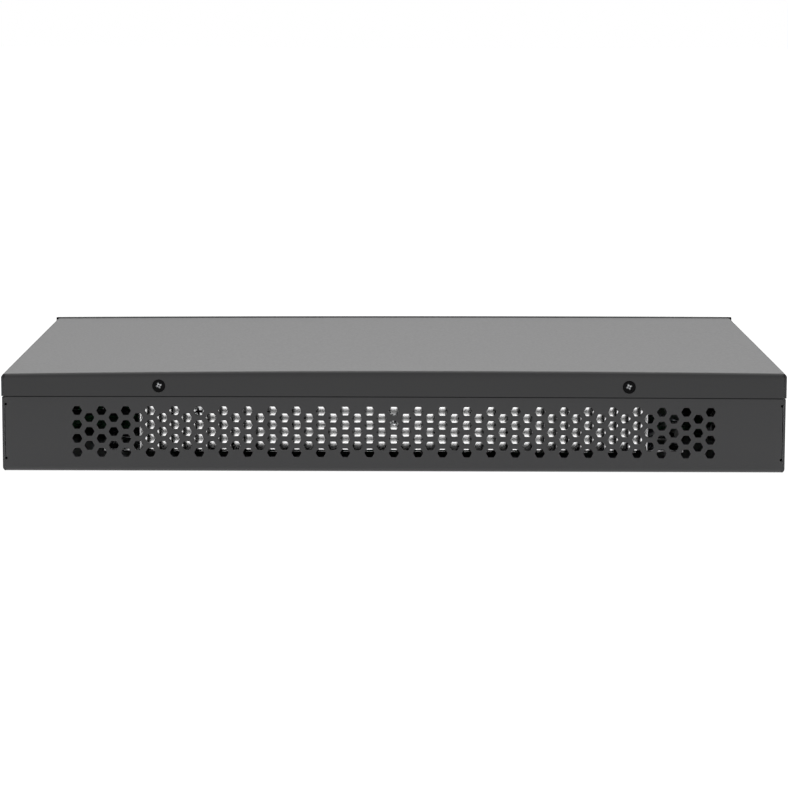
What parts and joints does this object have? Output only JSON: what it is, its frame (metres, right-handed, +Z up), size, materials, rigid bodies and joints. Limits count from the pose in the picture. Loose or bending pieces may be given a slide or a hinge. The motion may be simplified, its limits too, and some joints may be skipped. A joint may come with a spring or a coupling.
{
  "type": "rackmount network switch",
  "caption": "Compact one-rack-unit network switch: folded dark-grey steel case with a honeycomb rear vent, crowned lid, jacks, module slots and mains inlet on the front.",
  "frame": {"origin": "middle of the underside", "axes": "+Z up; -Y towards someone facing the vented rear wall, with +X to their right; the ports face +Y"},
  "size_m": [0.341, 0.2234, 0.0444],
  "materials": {
    "powder_coated_steel": "fine matt dark-grey powder coat on cold-rolled steel",
    "black_oxide_steel": "black zinc-plated screws",
    "zinc_plated_steel": "bright zinc plate",
    "bright_aluminium": "bare bright sheet, brushed lengthways",
    "board_laminate": "green solder resist on glass-epoxy",
    "black_epoxy": "moulded epoxy package",
    "heatsink_aluminium": "extruded, bare",
    "tin_plated_shield": "tin-plated sheet",
    "black_moulding": "moulded, fine texture",
    "white_moulding": "moulded nylon",
    "grey_button_plastic": "moulded",
    "clear_light_pipe": "clear moulded rod",
    "capacitor_sleeve": "shrunk sleeve",
    "ferrite": "sintered core and taped winding",
    "lead_insulation": "flexible insulation"
  },
  "bodies": {
    "chassis": {"base_tray": "powder_coated_steel", "board_capacitors": "capacitor_sleeve", "board_screws": "zinc_plated_steel", "board_standoffs": "zinc_plated_steel", "bulk_capacitors": "capacitor_sleeve", "console_jack": "black_moulding", "dc_leads": "lead_insulation", "fan_bracket": "zinc_plated_steel", "fan_frame_1": "black_moulding", "fan_frame_2": "black_moulding", "fan_screws": "zinc_plated_steel", "light_pipe_holder": "black_moulding", "main_board": "board_laminate", "mains_choke": "ferrite", "mains_inlet": "black_moulding", "mains_inlet_blades": "tin_plated_shield", "mains_inlet_screws": "black_oxide_steel", "mains_leads": "lead_insulation", "memory_chips": "black_epoxy", "mode_contact_switch": "black_moulding", "module_cage_1": "tin_plated_shield", "module_cage_2": "tin_plated_shield", "physical_layer_chip_1": "black_epoxy", "physical_layer_chip_2": "black_epoxy", "physical_layer_heatsink_1": "heatsink_aluminium", "physical_layer_heatsink_2": "heatsink_aluminium", "port_block_1": "tin_plated_shield", "port_block_2": "tin_plated_shield", "port_panel": "powder_coated_steel", "power_base_plate": "zinc_plated_steel", "power_board": "board_laminate", "power_board_pads": "white_moulding", "power_foot_screws": "black_oxide_steel", "power_header": "white_moulding", "power_heatsinks": "heatsink_aluminium", "power_plate_screws": "zinc_plated_steel", "power_standoffs": "zinc_plated_steel", "power_supply_case": "bright_aluminium", "power_transformer": "ferrite", "rear_cover_screws": "black_oxide_steel", "rear_vent_wall": "powder_coated_steel", "side_cover_screws": "black_oxide_steel", "status_light_pipes": "clear_light_pipe", "switch_chip": "black_epoxy", "switch_heatsink": "heatsink_aluminium", "top_cover": "powder_coated_steel"},
    "mode_button": {"mode_button": "grey_button_plastic"},
    "fan_rotor_1": {"fan_rotor_1": "black_moulding"},
    "fan_rotor_2": {"fan_rotor_2": "black_moulding"}
  },
  "joints": [
    {"name": "mode_button_press", "type": "slide", "parent": "chassis", "child": "mode_button", "axis": [0, -1, 0], "range_m": [0, 0.001], "stiffness_N_per_m": 300},
    {"name": "fan_1_spin", "type": "hinge", "parent": "chassis", "child": "fan_rotor_1", "pos_m": [0.158, -0.00575, 0.0214], "axis": [1, 0, 0], "continuous": true},
    {"name": "fan_2_spin", "type": "hinge", "parent": "chassis", "child": "fan_rotor_2", "pos_m": [0.158, 0.03625, 0.0214], "axis": [1, 0, 0], "continuous": true}
  ]
}
